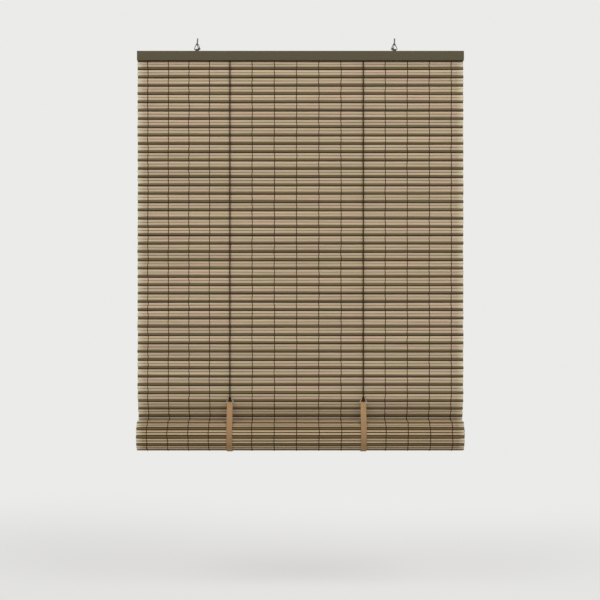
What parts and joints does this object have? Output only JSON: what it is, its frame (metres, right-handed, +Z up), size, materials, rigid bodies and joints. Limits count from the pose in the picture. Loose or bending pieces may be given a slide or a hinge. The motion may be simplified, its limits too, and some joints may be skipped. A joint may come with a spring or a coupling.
{
  "type": "vinyl roll-up blind",
  "caption": "Woven roll-up blind of tan and dark oval vinyl slats, hung by wire rings from two screw hooks, its lower mat rolled up in two strap slings.",
  "frame": {"origin": "On the wall plane, midway between the axes of the two hook screws.", "axes": "X along the headrail, to the right in the picture; +Y into the wall, along the hook screws; +Z up."},
  "size_m": [0.7642, 0.1028, 0.9668],
  "materials": {
    "tan_vinyl": "satin",
    "dark_vinyl": "satin",
    "rail_paint": "satin",
    "cap_plastic": "satin",
    "string_brown": "matte",
    "cord_brown": "matte",
    "strap_tan": "matte",
    "nickel": "satin",
    "bare_wood": "matte"
  },
  "bodies": {
    "hooks": {"screw_hook_left": "nickel", "screw_hook_right": "nickel", "hanger_ring_left": "nickel", "hanger_ring_right": "nickel"},
    "headrail": {"headrail_channel": "rail_paint", "end_cap_left": "cap_plastic", "end_cap_right": "cap_plastic", "saddle_left": "nickel", "saddle_right": "nickel", "saddle_rivets": "nickel", "batten": "bare_wood", "clamp_strip": "nickel", "clamp_screws": "nickel", "upper_tan_slats": "tan_vinyl", "upper_dark_slats": "dark_vinyl", "lower_tan_slats": "tan_vinyl", "lower_dark_slats": "dark_vinyl", "upper_strings": "string_brown", "lower_strings": "string_brown", "front_cord_left": "cord_brown", "front_cord_right": "cord_brown", "anchor_knot_left": "cord_brown", "anchor_knot_right": "cord_brown", "back_tape_left": "strap_tan", "back_tape_right": "strap_tan"},
    "ties": {"strap_left": "strap_tan", "strap_right": "strap_tan", "tie_ring_left": "nickel", "tie_ring_right": "nickel", "cord_knot_left": "cord_brown", "cord_knot_right": "cord_brown"},
    "roll": {"rolled_mat": "tan_vinyl", "bottom_rod": "bare_wood"}
  },
  "joints": [
    {"name": "headrail_swing", "type": "hinge", "parent": "hooks", "child": "headrail", "pos_m": [0, -0.042, -0.0116], "axis": [-1, 0, 0], "range_deg": [0, 75]},
    {"name": "roll_lift", "type": "slide", "parent": "headrail", "child": "ties", "axis": [0, 0, 1], "range_m": [0, 0.775], "deforming": ["lower_tan_slats", "lower_dark_slats", "lower_strings", "front_cord_left", "front_cord_right", "back_tape_left", "back_tape_right"]},
    {"name": "roll_spin", "type": "hinge", "parent": "ties", "child": "roll", "pos_m": [0, -0.044, -0.9135], "axis": [-1, 0, 0], "range_deg": [0, 1081]}
  ],
  "couplings": [
    {"joint": "roll_spin", "follows": "roll_lift", "rad_per_m": 24.322}
  ]
}
